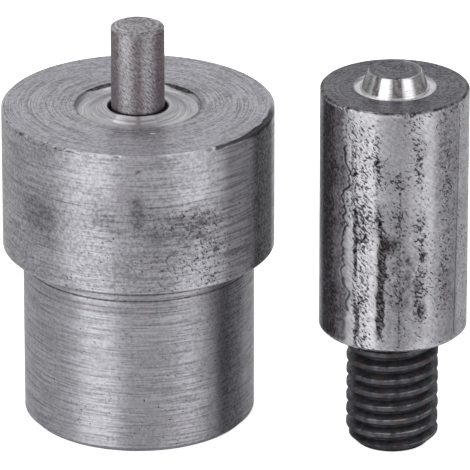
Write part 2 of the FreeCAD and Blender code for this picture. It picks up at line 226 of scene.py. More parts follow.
class Shader:
    """Short calls that add nodes to one material, or to the world."""

    def __init__(self, owner):
        self.owner = owner
        self.owner.use_nodes = True
        self.tree = self.owner.node_tree
        self.tree.nodes.clear()

    def add(self, kind, inputs=None, **settings):
        node = self.tree.nodes.new(kind)
        for key, value in settings.items():
            setattr(node, key, value)
        for key, value in (inputs or {}).items():
            if isinstance(value, bpy.types.NodeSocket):
                self.tree.links.new(value, node.inputs[key])
            else:
                node.inputs[key].default_value = value
        return node

    def math(self, operation, *values):
        return self.add("ShaderNodeMath", dict(enumerate(values)), operation=operation).outputs[0]

    def place(self):
        """The point's place in the object, in millimetres, as x, y and z."""
        point = self.add("ShaderNodeTexCoord").outputs["Object"]
        parts = self.add("ShaderNodeSeparateXYZ", {0: point})
        return [self.math("MULTIPLY", part, 1.0 / MM) for part in parts.outputs]

    def join(self, x, y, z):
        return self.add("ShaderNodeCombineXYZ", {0: x, 1: y, 2: z}).outputs[0]

    def scaled(self, parts, rates):
        """A place whose three parts are each multiplied by a rate."""
        return self.join(*[self.math("MULTIPLY", part, rate) for part, rate in zip(parts, rates)])

    def noise(self, where, scale, detail=2.0, rough=0.55):
        inputs = {"Vector": where, "Scale": scale, "Detail": detail, "Roughness": rough}
        return self.add("ShaderNodeTexNoise", inputs).outputs["Fac"]

    def between(self, value, low, high, to_low=0.0, to_high=1.0):
        """Carries a value smoothly from one range to another, held at its ends."""
        inputs = {
            "Value": value, "From Min": low, "From Max": high, "To Min": to_low, "To Max": to_high,
        }
        node = self.add("ShaderNodeMapRange", inputs, interpolation_type="SMOOTHSTEP", clamp=True)
        return node.outputs[0]

    def mix(self, share, first, second):
        node = self.tree.nodes.new("ShaderNodeMix")
        node.data_type = "RGBA"
        colours = [socket for socket in node.inputs if socket.type == "RGBA"]
        for socket, value in zip([node.inputs[0]] + colours, (share, first, second)):
            if isinstance(value, bpy.types.NodeSocket):
                self.tree.links.new(value, socket)
            else:
                socket.default_value = (*value, 1.0) if isinstance(value, tuple) else value
        return [socket for socket in node.outputs if socket.type == "RGBA"][0]

    def slanted(self, around, z, rate_across, rate_along):
        """Places for strokes that fall to the viewer's right across the front of a piece."""
        across = self.math("MULTIPLY", self.math("ADD", around, z), rate_across * math.sqrt(0.5))
        along = self.math("MULTIPLY", self.math("SUBTRACT", around, z), rate_along * math.sqrt(0.5))
        return self.join(across, along, 0.0)

    def mark(self, name):
        """A mark that was painted on the mesh's points."""
        return self.add("ShaderNodeAttribute", attribute_name=name).outputs["Fac"]

    def finish(self, surface):
        self.add("ShaderNodeOutputMaterial", {"Surface": surface})
        return self.owner


# Mark colours: a dirt colour for stains and painted shade, a near black for pitting and painted shade, a
# near white for worn metal and painted highlights.
GRIME_AND_SHADE = (0.075, 0.068, 0.072)
PIT_AND_SHADE_DARK = (0.02, 0.018, 0.02)
BARE_METAL_AND_HIGHLIGHT = (0.9, 0.89, 0.92)
WARMTH = (0.86, 0.74, 0.78)


def tool_marks(shader, lines, rate, x, y, z):
    """Places for the noise of the tool marks. lines says how they run: round, rings, slanted or none."""
    slow = 0.28
    if lines == "round":
        return shader.scaled((x, y, z), (slow, slow, rate))
    if lines == "rings":
        squares = [shader.math("MULTIPLY", part, part) for part in (x, y)]
        out = shader.math("SQRT", shader.math("ADD", *squares))
        return shader.scaled((out, x, y), (rate, slow, slow))
    if lines == "slanted":
        return shader.slanted(shader.mark("around"), z, rate, rate * 0.25)
    return shader.scaled((x, y, z), (rate, rate, rate))


def scale_flecks(shader, z):
    """Small dark flecks and round dots where a piece is marked with mill scale."""
    around = shader.mark("around")
    scale = shader.mark("scale")
    flecks = shader.noise(shader.slanted(around, z, 5.0, 2.4), 1.0, 1.0, 0.5)
    flecks = shader.between(shader.math("MULTIPLY_ADD", scale, 0.26, flecks), 0.69, 0.76)
    where = shader.slanted(around, z, 5.5, 3.2)
    cells = shader.add("ShaderNodeTexVoronoi", {"Vector": where, "Scale": 1.0})
    chance = shader.add("ShaderNodeSeparateColor", {0: cells.outputs["Color"]}).outputs[0]
    chosen = shader.between(shader.math("SUBTRACT", scale, chance), 0.0, 0.25)
    dots = shader.between(cells.outputs["Distance"], 0.2, 0.42, 1.0, 0.0)
    flecks = shader.math("MAXIMUM", flecks, shader.math("MULTIPLY", dots, chosen))
    return shader.math("MULTIPLY", flecks, shader.between(scale, 0.0, 0.05))


def steel(name, light, dark, rough, lines, line_rate=6.0, line_shade=0.5, relief=0.004, stretch=0.7,
          cloud_rate=0.35, cloud_shade=0.5, grain=0.5, grime_and_shade=GRIME_AND_SHADE, pit_and_shade=PIT_AND_SHADE_DARK):
    """Bare steel between a light and a dark colour, with tool marks, clouds, specks and flecks."""
    shader = Shader(bpy.data.materials.new(name))
    x, y, z = shader.place()
    here = shader.join(x, y, z)
    marks = tool_marks(shader, lines, line_rate, x, y, z)
    coarse = shader.noise(marks, 1.0, 4.0, 0.65)
    fine = shader.noise(marks, 2.7, 2.0)
    clouds = shader.noise(here, cloud_rate, 4.0, 0.6)
    specks = shader.noise(here, 3.5, 4.0, 0.7)
    flecks = scale_flecks(shader, z)
    # Pitting and scale flecks; the same mark also carries painted shade.
    pits_and_shade = shader.math("MAXIMUM", shader.mark("pit_and_shade"), shader.math("MULTIPLY", flecks, 0.8))

    line_share = shader.between(coarse, 0.36, 0.62, line_shade, 0.0)
    cloud_share = shader.between(clouds, 0.38, 0.66, 0.0, cloud_shade)
    shade = shader.math("MAXIMUM", line_share, cloud_share)
    shade = shader.math("ADD", shade, shader.between(specks, 0.36, 0.64, 0.3 * grain, -0.3 * grain))
    shade = shader.math("ADD", shade, shader.math("MULTIPLY", shader.mark("scale"), 0.3))
    shade = shader.math("MINIMUM", shader.math("MAXIMUM", shade, 0.0), 1.0)
    colour = shader.mix(shade, light, dark)
    tint = shader.between(shader.noise(here, cloud_rate * 2.3, 2.0), 0.5, 0.75, 0.0, 0.3)
    warm = tuple(channel * factor for channel, factor in zip(light, WARMTH))
    colour = shader.mix(tint, colour, warm)
    ragged = shader.between(specks, 0.36, 0.62, 1.15, 0.75)
    # Darkens where stains and painted shade are marked.
    colour = shader.mix(shader.math("MULTIPLY", shader.mark("stain_and_shade"), ragged), colour, grime_and_shade)
    streaky = shader.between(coarse, 0.4, 0.58, 0.25, 1.0)
    # Lightens where worn metal and painted highlights are marked.
    colour = shader.mix(shader.math("MULTIPLY", shader.mark("wear_and_highlight"), streaky), colour, BARE_METAL_AND_HIGHLIGHT)
    colour = shader.mix(pits_and_shade, colour, pit_and_shade)

    dull = shader.math("MULTIPLY_ADD", shade, 0.12, rough)
    dull = shader.math("MULTIPLY_ADD", shader.between(specks, 0.4, 0.7), 0.06, dull)
    dull = shader.math("MULTIPLY_ADD", shader.mark("stain_and_shade"), 0.15, dull)
    dull = shader.math("MULTIPLY_ADD", pits_and_shade, 0.35, dull)

    rise = shader.math("ADD", coarse, shader.math("MULTIPLY", fine, 0.6))
    rise = shader.math("ADD", rise, shader.math("MULTIPLY", specks, grain))
    rise = shader.math("SUBTRACT", rise, shader.math("MULTIPLY", flecks, 2.0))
    bump = shader.add("ShaderNodeBump", {"Height": rise, "Strength": 1.0, "Distance": relief * MM})
    tangent = shader.add("ShaderNodeTangent", direction_type="RADIAL", axis="Z")
    quarter_turn = 0.25 if lines in ("round", "rings") else 0.0
    surface = shader.add("ShaderNodeBsdfPrincipled", {
        "Base Color": colour, "Metallic": 1.0, "Roughness": dull, "Anisotropic": stretch,
        "Anisotropic Rotation": quarter_turn, "Normal": bump.outputs[0], "Tangent": tangent.outputs[0],
    })
    return shader.finish(surface.outputs[0])


def black_oxide(name):
    """Black-oxide thread: blue-black, darker in the roots, worn and with painted highlights on its crest
    edges.
    """
    deep_black, grey_black = (0.075, 0.077, 0.09), (0.145, 0.145, 0.162)
    root_black = (0.026, 0.026, 0.031)
    rust_brown, worn_and_highlight_steel = (0.12, 0.07, 0.052), (0.44, 0.4, 0.38)
    shader = Shader(bpy.data.materials.new(name))
    x, y, z = shader.place()
    here = shader.join(x, y, z)
    clouds = shader.between(shader.noise(here, 1.6, 4.0), 0.38, 0.65)
    colour = shader.mix(clouds, deep_black, grey_black)
    colour = shader.mix(shader.mark("root"), colour, root_black)
    rust = shader.between(shader.noise(here, 0.9, 3.0), 0.52, 0.68, 0.0, 0.6)
    colour = shader.mix(rust, colour, rust_brown)
    patchy = shader.between(shader.noise(here, 1.6, 3.0), 0.36, 0.62)
    # Worn oxide and painted highlights on the crest edges.
    colour = shader.mix(shader.math("MULTIPLY", shader.mark("wear_and_highlight"), patchy), colour, worn_and_highlight_steel)
    rise = shader.noise(here, 5.0, 4.0)
    bump = shader.add("ShaderNodeBump", {"Height": rise, "Strength": 1.0, "Distance": 0.025 * MM})
    dull = shader.between(shader.noise(here, 3.0, 2.0), 0.35, 0.65, 0.36, 0.58)
    surface = shader.add("ShaderNodeBsdfPrincipled", {
        "Base Color": colour, "Metallic": 0.75, "Roughness": dull, "Normal": bump.outputs[0],
    })
    return shader.finish(surface.outputs[0])


# Lower die

COLLAR = 11.75
SHANK = 10.0
SHOULDER = 15.6
LOWER_FACE = 28.4
RIM = 28.28
BORE = 2.6
CHAMBER = 4.5
MOUTH = 5.02
ROUGH_TOP = 23.8
PLUG_TOP = 4.5

# Deeper rings turned in the shank, darkened with painted shade: height, depth, half width
SHANK_GROOVES = [
    (15.1, 0.02, 0.1),
    (14.86, 0.05, 0.2),
    (14.23, 0.05, 0.12),
    (13.6, 0.014, 0.1),
    (13.1, 0.018, 0.1),
    (12.1, 0.012, 0.12),
    (9.6, 0.006, 0.1),
    (2.6, 0.008, 0.12),
]
# Pits in the lower die's face: angle, distance out, size, strength
FACE_PITS = [
    (-66.5, 5.6, 0.18, 0.9),
    (134.0, 9.95, 0.16, 0.8),
    (131.0, 11.1, 0.13, 0.8),
    (115.0, 11.1, 0.14, 0.6),
    (103.0, 7.85, 0.16, 0.8),
    (-150.0, 8.4, 0.25, 0.35),
    (-78.0, 9.6, 0.5, 0.3),
    (-62.0, 10.4, 0.6, 0.25),
]
# Dark smudges on the collar: angle, height, half width, half height, strength
COLLAR_STAINS = [
    (-46.0, 21.6, 15.0, 3.4, 0.45),
    (-39.0, 21.2, 5.5, 3.0, 0.55),
    (0.5, 23.0, 7.0, 3.0, 0.65),
    (-13.0, 22.3, 16.0, 2.4, 0.4),
    (10.0, 21.6, 18.0, 2.6, 0.4),
    (24.0, 21.1, 28.0, 3.4, 0.5),
    (26.5, 21.2, 9.0, 2.1, 0.8),
    (35.0, 18.9, 2.4, 0.8, 0.9),
    (42.0, 18.2, 6.0, 1.5, 0.75),
    (42.0, 23.4, 9.0, 2.6, 0.55),
    (52.0, 19.0, 9.0, 4.0, 0.6),
]


def rough_band(height, zone):
    """1 on the rougher lower part of the collar."""
    return (zone == "collar") * ease((ROUGH_TOP - height) / 0.6)


def ring_sides(angle, radius, height, zone, marks):
    """Tool rings of shank and collar, the shank's deeper rings with painted shade, and the collar's step
    line.
    """
    shank = zone == "shank"
    collar = zone == "collar"
    rings = patches(1, angle, height, 9, 7.0) * (0.6 + 0.4 * patches(2, angle, height, 14, 1.0))
    radius = radius + (collar | shank) * rings * np.where(shank, 0.008, 0.004)
    radius = radius + rough_band(height, zone) * layered(3, angle, height, 90, 2.0) * 0.005
    for ring_height, depth, half_width in SHANK_GROOVES:
        groove = shank * ease(1.0 - np.abs(height - ring_height) / half_width)
        radius = radius - groove * depth
        # Painted shade in the groove, darker for a deeper groove.
        strengthen(marks, "stain_and_shade", groove * np.minimum(depth / 0.04, 0.95))
    ring_line = 23.6 + 0.14 * np.sin(np.radians(angle * 3.0)) + 0.06 * patches(4, angle, 0.0, 40, 1.0)
    step_line = collar * ease(1.0 - np.abs(height - ring_line) / 0.12)
    step_line = step_line * (0.6 + 0.4 * patches(16, angle, 0.0, 30, 1.0))
    strengthen(marks, "stain_and_shade", step_line * 0.8)
    return radius - step_line * 0.02


def mark_lower_face(angle, radius, height, zone, marks):
    """Tool rings, pitting, painted shade over the front and a small painted highlight on the flat face.
    """
    face = zone == "face"
    face_rings = patches(5, angle, radius, 7, 8.0) * (0.6 + 0.4 * patches(6, angle, radius, 16, 0.8))
    height = height + face * face_rings * 0.007
    near_seat = face * ease((7.6 - radius) / 2.0)
    lines_near_seat = near_seat * ease(patches(17, angle, radius, 5, 6.0) + 0.1)
    strengthen(marks, "stain_and_shade", lines_near_seat * 0.35)
    for centre, out, size, strength in FACE_PITS:
        mark = face * spot(angle, radius, centre, out, np.degrees(size / out), size) * strength
        height = height - mark * 0.05
        strengthen(marks, "pit_and_shade", mark)
    # A small painted highlight on the face.
    strengthen(marks, "wear_and_highlight", face * spot(angle, radius, 11.4, 6.73, 3.2, 0.2) * 3.0)
    # Painted shade over the front of the face.
    strengthen(marks, "stain_and_shade", face * spot(angle, radius, 2.0, 6.6, 40.0, 2.6) * 0.42)
    return height


def stain_and_shade_sides(angle, radius, height, zone, marks):
    """Smudges, a slanting dent, mill scale, and upright bands of painted shade and highlight on collar
    and shank.
    """
    shank = zone == "shank"
    collar = zone == "collar"
    cloudy = 0.85 + 0.8 * layered(9, angle, height, 70, 2.0)
    for centre, up, half_angle, half_height, strength in COLLAR_STAINS:
        blotch = 1.3 * spot(angle, height, centre, up, half_angle, half_height) * cloudy
        strengthen(marks, "stain_and_shade", collar * np.clip(blotch, 0.0, 1.0) * strength)
    dent = collar * spot(angle - 4.0 * (height - 26.9), height, 0.6, 26.9, 1.7, 0.32)
    strengthen(marks, "pit_and_shade", dent * 0.9)
    rough = rough_band(height, zone)
    scale = rough * (0.08 + 0.34 * spot(angle, height, 27.0, 19.8, 38.0, 6.5))
    strengthen(marks, "scale", scale + rough * 0.16 * patches(18, angle, height, 20, 0.5))
    strengthen(marks, "scale", shank * 0.06)
    # Upright bands of painted shade on collar and shank, then one of painted highlight on the collar.
    strengthen(marks, "stain_and_shade", collar * band(angle, 61.0, 74.0, 8.0) * 0.8)
    strengthen(marks, "stain_and_shade", shank * band(angle, 49.0, 59.0, 9.0) * 0.55)
    strengthen(marks, "stain_and_shade", shank * band(angle, 20.0, 36.0, 9.0) * 0.2)
    strengthen(marks, "wear_and_highlight", collar * band(angle, 41.0, 50.0, 9.0) * 0.75)
    return radius - dent * 0.03


def mark_seat(angle, radius, zone, marks):
    """Painted shade on the eyelet seat's rim line and crescents; painted highlights on its floor line
    and lip.
    """
    seat = (zone == "seat") | (zone == "lip")
    from_front = np.abs(angle)
    # Painted shade along the outer rim and in two crescents at the back.
    rim_line = seat * ease((radius - 5.34) / 0.08) * band(from_front, 55.0, 170.0, 12.0)
    crescents = np.maximum(band(angle, 132.0, 142.0, 24.0), 0.9 * band(angle, -149.0, -140.0, 26.0))
    crescents = seat * ease(crescents * 3.0) * ease((radius - 5.44 + 0.2 * crescents) / 0.06)
    strengthen(marks, "stain_and_shade", np.maximum(rim_line * 0.85, crescents * 0.95))
    # Painted highlights on the back of the seat, its floor line, two bands on its lip and a patch at the
    # right.
    strengthen(marks, "wear_and_highlight", seat * (1.0 - crescents) * ease((from_front - 50.0) / 40.0) * 0.2)
    floor_line = seat * ease(1.0 - np.abs(radius - 4.72) / 0.1) * band(angle, -150.0, -18.0, 20.0)
    strengthen(marks, "wear_and_highlight", floor_line)
    lip_bands = np.maximum(band(angle, -30.0, -7.0, 8.0), band(angle, 9.0, 24.0, 7.0))
    lip_rings = ease(0.6 + 0.9 * patches(19, angle, radius, 6, 5.0))
    strengthen(marks, "wear_and_highlight", seat * ease((4.0 - radius) / 0.5) * lip_bands * lip_rings * 2.6)
    strengthen(marks, "wear_and_highlight", seat * spot(angle, radius, 62.0, 4.1, 50.0, 1.6) * 0.6)


def rim_wear_and_light(angle, radius, height, marks):
    """Nicks, worn chamfer with painted shade, painted glints at the collar's upper edge, a painted
    highlight below.
    """
    upper = height > 27.0
    depth = COLLAR - radius + np.maximum(RIM - height, 0.0)
    near_edge = ease(1.0 - depth / 0.3) * upper
    left_front = band(angle, -75.0, -8.0, 10.0)
    right_front = band(angle, 38.0, 80.0, 12.0)
    nicks = ease((layered(7, angle, 4.0 * height, 230, 1.0, 3) - 0.05) / 0.5)
    nicks = nicks * (0.3 + 0.7 * left_front) * near_edge
    worn_depth = 0.15 + 0.28 * ease((angle - 30.0) / 45.0) + 0.1 * layered(8, angle, 0.0, 70, 1.0, 2)
    worn = right_front * ease((worn_depth - depth) / 0.12) * upper
    spark = near_edge * spot(angle, height, 34.5, 28.3, 1.8, 0.4)
    worn = worn * (1.0 - spark)
    radius = radius - nicks * 0.035 - worn * 0.12
    height = height - nicks * 0.035 - worn * 0.1
    strengthen(marks, "stain_and_shade", nicks * 0.9)
    # The worn strip is cut in and darkened with painted shade.
    strengthen(marks, "pit_and_shade", worn * 0.8)
    # Painted glints along the edge and one in the worn strip.
    sparks = ease((layered(20, angle, 4.0 * height, 170, 1.0, 2) - 0.35) / 0.2) * near_edge
    strengthen(marks, "wear_and_highlight", sparks * 0.9)
    strengthen(marks, "wear_and_highlight", spark * 2.0)
    # A painted highlight along the collar's lower edge.
    under = ease(1.0 - (height - SHOULDER) / 0.35) * (radius > 11.55) * (height < 16.5)
    strengthen(marks, "wear_and_highlight", under * 0.7)
    return radius, height


def carve_lower_die(angle, radius, height, zone):
    """All the carving and all the marks of the lower die."""
    marks = blank_marks(radius)
    radius = ring_sides(angle, radius, height, zone, marks)
    height = mark_lower_face(angle, radius, height, zone, marks)
    radius = stain_and_shade_sides(angle, radius, height, zone, marks)
    mark_seat(angle, radius, zone, marks)
    radius, height = rim_wear_and_light(angle, radius, height, marks)
    return radius, height, marks



def lower_die_materials():
    """The steels of the lower die, one for each zone of its surface."""
    side = dict(light=(0.68, 0.675, 0.73), dark=(0.33, 0.325, 0.355))
    top = dict(light=(0.62, 0.612, 0.668), dark=(0.28, 0.275, 0.305))
    return {
        "foot": steel("foot_steel", rough=0.34, lines="rings", **side),
        "shank": steel("shank_steel", rough=0.3, lines="round", line_rate=7.0, line_shade=0.85,
                       relief=0.006, grain=0.7, **side),
        "collar": steel("collar_steel", rough=0.33, lines="round", line_rate=6.0, line_shade=0.8,
                        relief=0.006, grain=1.2, pit_and_shade=(0.12, 0.115, 0.12), **side),
        "edge": steel("broken_edge_steel", rough=0.3, lines="round", line_rate=6.5, line_shade=0.3,
                      pit_and_shade=(0.06, 0.057, 0.06), **side),
        "face": steel("face_steel", rough=0.33, lines="rings", line_rate=9.0, line_shade=0.9,
                      relief=0.008, cloud_shade=0.3, grain=1.2, pit_and_shade=(0.06, 0.057, 0.06), **top),
        "seat": steel("seat_steel", (0.58, 0.575, 0.615), (0.33, 0.325, 0.345), 0.24, "rings",
                      line_shade=0.6, stretch=0.3, grain=0.5),
        # The lip's steel is lighter and rougher than the seat's; its lighter colour is painted
        # highlight.
        "lip": steel("lip_steel", (0.68, 0.67, 0.7), (0.34, 0.335, 0.35), 0.38, "rings", line_rate=8.0,
                     line_shade=0.7, stretch=0.2, grain=0.3),
        "bore": steel("bore_steel", (0.3, 0.29, 0.3), (0.16, 0.155, 0.16), 0.4, "round"),
    }


def make_lower_die():
    """The stepped block with its eyelet seat, bore, spring chamber and threaded mouth."""
    corners = [
        (5.4, 0.0),
        (9.5, 0.0, "foot", 0.5),
        (SHANK, 0.5, "foot", 0.12),
        (SHANK, SHOULDER, "shank", 0.125),
        (11.6, SHOULDER, "foot", 0.4),
        (COLLAR, 15.75, "edge", 0.05),
        (COLLAR, 27.6, "collar", 0.125),
        (COLLAR, RIM, "collar", 0.07),
        (11.63, LOWER_FACE, "edge", 0.04),
        (10.9, LOWER_FACE, "face", 0.07),
        (5.45, LOWER_FACE, "face", 0.125),
        (5.2, 27.98, "seat", 0.06),
        (4.35, 27.85, "seat", 0.08, -0.04),
        (3.05, 28.36, "lip", 0.08, -0.06),
        (2.84, LOWER_FACE, "lip", 0.04, 0.015),
        (2.66, 28.33, "lip", 0.04, 0.015),
        (BORE, 28.15, "lip", 0.04, 0.012),
        (BORE, 20.02, "bore", 1.0),
        (CHAMBER, 20.02, "bore", 0.6),
        (CHAMBER, PLUG_TOP, "bore", 1.0),
        (MOUTH, PLUG_TOP, "bore", 0.3),
        (MOUTH, 0.4, "bore", 0.15),
        (5.4, 0.0, "bore", 0.1),
    ]
    materials = lower_die_materials()
    thing = turned("lower_die_block", corners, 600, materials, carve_lower_die, closed=True)
    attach(thing, "lower_die")
    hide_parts("lower_die_body")


# Pilot pin

PIN = 2.3
PIN_TOP = 35.8
PIN_HEAD = 4.45
PIN_HEAD_HEIGHT = 2.0
PIN_FOOT = 18.02


def carve_pin(angle, radius, height, zone):
    """Fine slanting strokes, upright bands of painted highlight and shade along the pin, painted shade
    at the bore.
    """
    side = zone == "pin"
    end = zone == "end"
    around = angle + np.degrees(height / PIN)
    strokes = patches(11, around, height, 80, 2.5)
    radius = radius + side * strokes * 0.006
    rings = patches(13, angle + radius * 20.0, radius, 12, 5.0)
    height = height + end * rings * 0.016
    marks = {}
    # Upright bands of painted highlight and painted shade, and a painted highlight ring on the end.
    marks["wear_and_highlight"] = side * 0.5 * band(angle, -31.0, -20.0, 16.0)
    strengthen(marks, "wear_and_highlight", side * 0.35 * band(angle, 20.0, 28.0, 14.0))
    strengthen(marks, "wear_and_highlight", end * ease(1.0 - np.abs(radius - 1.85) / 0.12) * 0.7)
    marks["stain_and_shade"] = side * 0.4 * band(angle, -2.0, 4.0, 12.0)
    strengthen(marks, "stain_and_shade", side * 0.6 * band(angle, 52.0, 90.0, 16.0))
    strengthen(marks, "stain_and_shade", side * 0.45 * band(angle, -90.0, -52.0, 12.0))
    # Painted shade on the pin just at and below the lip of the bore.
    marks["pit_and_shade"] = side * ease((LOWER_FACE + 0.06 - height) / 0.16) * 0.9
    return radius, height, marks


def make_pilot_pin():
    """The pin that the eyelet drops over, with its bevelled end and captive head."""
    dark_pin = dict(light=(0.6, 0.56, 0.585), dark=(0.2, 0.175, 0.185))
    materials = {
        "head": steel("pin_head_steel", rough=0.35, lines="round", **dark_pin),
        "pin": steel("pin_side_steel", rough=0.33, lines="slanted", line_rate=9.0, line_shade=1.0,
                     relief=0.045, stretch=0.2, grime_and_shade=(0.19, 0.14, 0.15), **dark_pin),
        "end": steel("pin_end_steel", (0.56, 0.545, 0.57), (0.16, 0.15, 0.16), 0.33, "rings",
                     line_rate=7.0, line_shade=0.95, relief=0.02, stretch=0.3, grain=1.6),
    }
    bevel = 0.3
    head_top = PIN_FOOT + PIN_HEAD_HEIGHT
    corners = [
        (0.0, PIN_FOOT),
        (PIN_HEAD - bevel, PIN_FOOT, "head", 0.6),
        (PIN_HEAD, PIN_FOOT + bevel, "head", 0.15),
        (PIN_HEAD, head_top - bevel, "head", 0.4),
        (PIN_HEAD - bevel, head_top, "head", 0.15),
        (PIN, head_top, "head", 0.5),
        (PIN, PIN_TOP - 0.26, "pin", 0.1),
        (PIN - 0.06, PIN_TOP - 0.2, "end", 0.04),
        (1.8, PIN_TOP, "end", 0.1),
        (0.0, PIN_TOP, "end", 0.1),
    ]
    thing = turned("pilot_pin_steel", corners, 160, materials, carve_pin)
    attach(thing, "pin")
    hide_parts("pilot_pin")


# Spring and plug

def make_spring():
    """The round-wire spring, with a closed and ground coil at each end."""
    wire, mean_radius, length, base = 0.35, 3.55, 13.52, PLUG_TOP
    end_rise, working_turns = 0.76, 4
    per_turn, sides = 48, 12
    turns = working_turns + 2
    along = np.arange(turns * per_turn + 1) / per_turn
    centre = np.interp(along, [0, 1, turns - 1, turns], [0.0, end_rise, length - end_rise, length])
    turn = 2.0 * math.pi * along[:, None]
    round_wire = 2.0 * math.pi * np.arange(sides)[None, :] / sides
    radius = mean_radius + wire * np.cos(round_wire)
    height = np.clip(centre[:, None] + wire * np.sin(round_wire), 0.0, length) + base
    points = np.stack([radius * np.cos(turn), radius * np.sin(turn), height], axis=-1).reshape(-1, 3)
    here = np.arange(sides)
    following = (here + 1) % sides
    quads = []
    for step in range(len(along) - 1):
        low, high = step * sides, (step + 1) * sides
        quads.append(np.stack([low + following, low + here, high + here, high + following], axis=1))
    last = (len(along) - 1) * sides
    caps = [np.array([here]), np.array([last + here[::-1]])]
    wire_steel = steel("spring_wire_steel", (0.42, 0.42, 0.45), (0.24, 0.24, 0.26), 0.3, "none",
                       line_rate=2.0)
    faces = [np.concatenate(quads)] + caps
    face_zones = np.zeros(len(faces[0]) + len(caps))
    thing = mesh_object("pin_spring_wire", points, faces, face_zones, [wire_steel])
    thing.data.set_sharp_from_angle(angle=math.radians(50.0))
    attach(thing, "lower_die")
    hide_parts("pin_spring")
    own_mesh(thing)


def thread_radius(angle, height, crest, depth, pitch, flat=0.14):
    """Radius of a right-hand thread: flat crests and rounded roots."""
    phase = (height / pitch - angle / FULL_TURN) % 1.0
    from_crest = np.abs(phase - 0.5) * 2.0
    root_from = 0.84
    flank = np.clip((from_crest - flat) / (root_from - flat), 0.0, 1.0)
    return crest - depth * (0.35 * ease(flank) + 0.65 * flank), from_crest


PLUG = 4.98
PLUG_PITCH = 1.0
PLUG_THREAD_DEPTH = 0.55


def carve_plug(angle, radius, height, zone):
    """Fine thread round the plug, running out in its two chamfers."""
    thread = zone == "thread"
    cut, from_crest = thread_radius(angle, height, PLUG, PLUG_THREAD_DEPTH, PLUG_PITCH)
    radius = np.where(thread, np.minimum(radius, cut), radius)
    wear_and_highlight = thread * ease(1.0 - from_crest * 4.0) * 0.6
    return radius, height, {"wear_and_highlight": wear_and_highlight}


def make_plug():
    """The slotted threaded plug in the foot."""
    plug = dict(light=(0.4, 0.4, 0.42), dark=(0.22, 0.22, 0.24))
    materials = {
        "end": steel("plug_end_steel", rough=0.35, lines="rings", **plug),
        "thread": steel("plug_thread_steel", rough=0.35, lines="round", **plug),
    }
    low, end_radius, chamfer = 0.5, 4.6, 0.4
    corners = [
        (0.0, low),
        (end_radius, low, "end", 0.5),
        (PLUG, low + chamfer, "thread", 0.08),
        (PLUG, PLUG_TOP - chamfer, "thread", 0.08),
        (end_radius, PLUG_TOP, "thread", 0.08),
        (0.0, PLUG_TOP, "end", 0.8),
    ]
    thing = turned("base_plug_screw", corners, 160, materials, carve_plug)
    cut_slot(thing, low)
    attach(thing, "lower_die")
    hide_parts("base_plug")


def cut_slot(thing, low):
    """Cuts the screwdriver slot across the foot of the plug."""
    slot = bpy.data.meshes.new("slot_cutter")
    half_width, reach, below, deep = 0.8, 7.0, 1.0, 1.8
    ends = []
    for x in (-reach, reach):
        for y in (-half_width, half_width):
            for z in (low - below, low + deep):
                ends.append((x, y, z))
    sides = [(0, 1, 3, 2), (4, 6, 7, 5), (0, 4, 5, 1), (2, 3, 7, 6), (0, 2, 6, 4), (1, 5, 7, 3)]
    slot.from_pydata([Vector(end) * MM for end in ends], [], sides)
    cutter = bpy.data.objects.new("slot_cutter", slot)
    bpy.context.scene.collection.objects.link(cutter)
    cut = thing.modifiers.new("slot", "BOOLEAN")
    cut.operation = "DIFFERENCE"
    cut.solver = "EXACT"
    cut.object = cutter
    solid = bpy.data.meshes.new_from_object(thing.evaluated_get(bpy.context.evaluated_depsgraph_get()))
    thing.modifiers.clear()
    thing.data = solid
    bpy.data.objects.remove(cutter)


# Upper die

PUNCH = 6.35
PUNCH_LENGTH = 22.0
UPPER_AXIS = (21.9, -6.5)
UPPER_SEAT = 10.7
EDGE = 0.15
BOSS_HEIGHT = 1.5
TAPPED = 4.02

# Dark upright scars: angle, half width, lowest and highest point, strength
SCARS = [
    (-10.0, 3.0, 1.6, 11.2, 0.8),
    (-32.0, 1.8, 7.0, 12.5, 0.75),
    (-30.0, 2.6, 0.8, 4.0, 0.7),
    (-35.0, 1.0, 12.0, 18.5, 0.5),
    (3.5, 0.7, 0.9, 16.0, 0.55),
]
# Soft dark blotches: angle, height, half width, half height, strength
BLOTCHES = [
    (-4.5, 9.9, 10.0, 1.5, 1.3),
    (10.0, 8.5, 6.5, 1.0, 1.0),
    (22.0, 8.7, 7.0, 1.1, 1.1),
    (9.5, 6.9, 5.0, 1.0, 0.9),
    (17.0, 6.2, 7.0, 1.2, 0.9),
    (20.0, 3.8, 6.0, 1.4, 1.1),
    (8.0, 4.6, 4.5, 1.0, 0.75),
    (-12.0, 13.3, 5.0, 1.1, 0.5),
    (1.0, 11.6, 6.0, 1.2, 0.35),
]
# Wide brownish mottled parts: angle, height, half width, half height, strength
MOTTLES = [
    (8.0, 6.0, 32.0, 10.0, 0.62),
    (47.0, 8.0, 18.0, 14.0, 0.6),
    (44.0, 17.5, 20.0, 7.0, 0.75),
    (2.0, 16.0, 22.0, 5.0, 0.2),
]
# Upright streaks of pitted scale: angle, half width, lowest and highest point, strength
SCALE_STREAKS = [
    (-25.0, 11.0, 0.6, 20.5, 0.55),
    (-33.0, 3.0, 0.6, 21.0, 0.6),
    (-13.0, 5.0, 12.0, 20.0, 0.8),
    (-11.0, 4.5, 1.0, 9.5, 0.4),
    (19.0, 8.0, 2.0, 19.0, 0.8),
    (4.0, 10.0, 2.0, 16.0, 0.3),
    (42.0, 14.0, 12.0, 21.0, 0.34),
    (40.0, 8.0, 1.0, 12.0, 0.24),
    (84.0, 9.0, 2.0, 12.0, 0.4),
    (118.0, 10.0, 5.0, 19.0, 0.5),
    (152.0, 7.0, 1.0, 12.0, 0.6),
    (172.0, 9.0, 9.0, 20.5, 0.5),
    (-142.0, 11.0, 2.0, 15.0, 0.6),
    (-108.0, 8.0, 8.0, 20.0, 0.5),
]
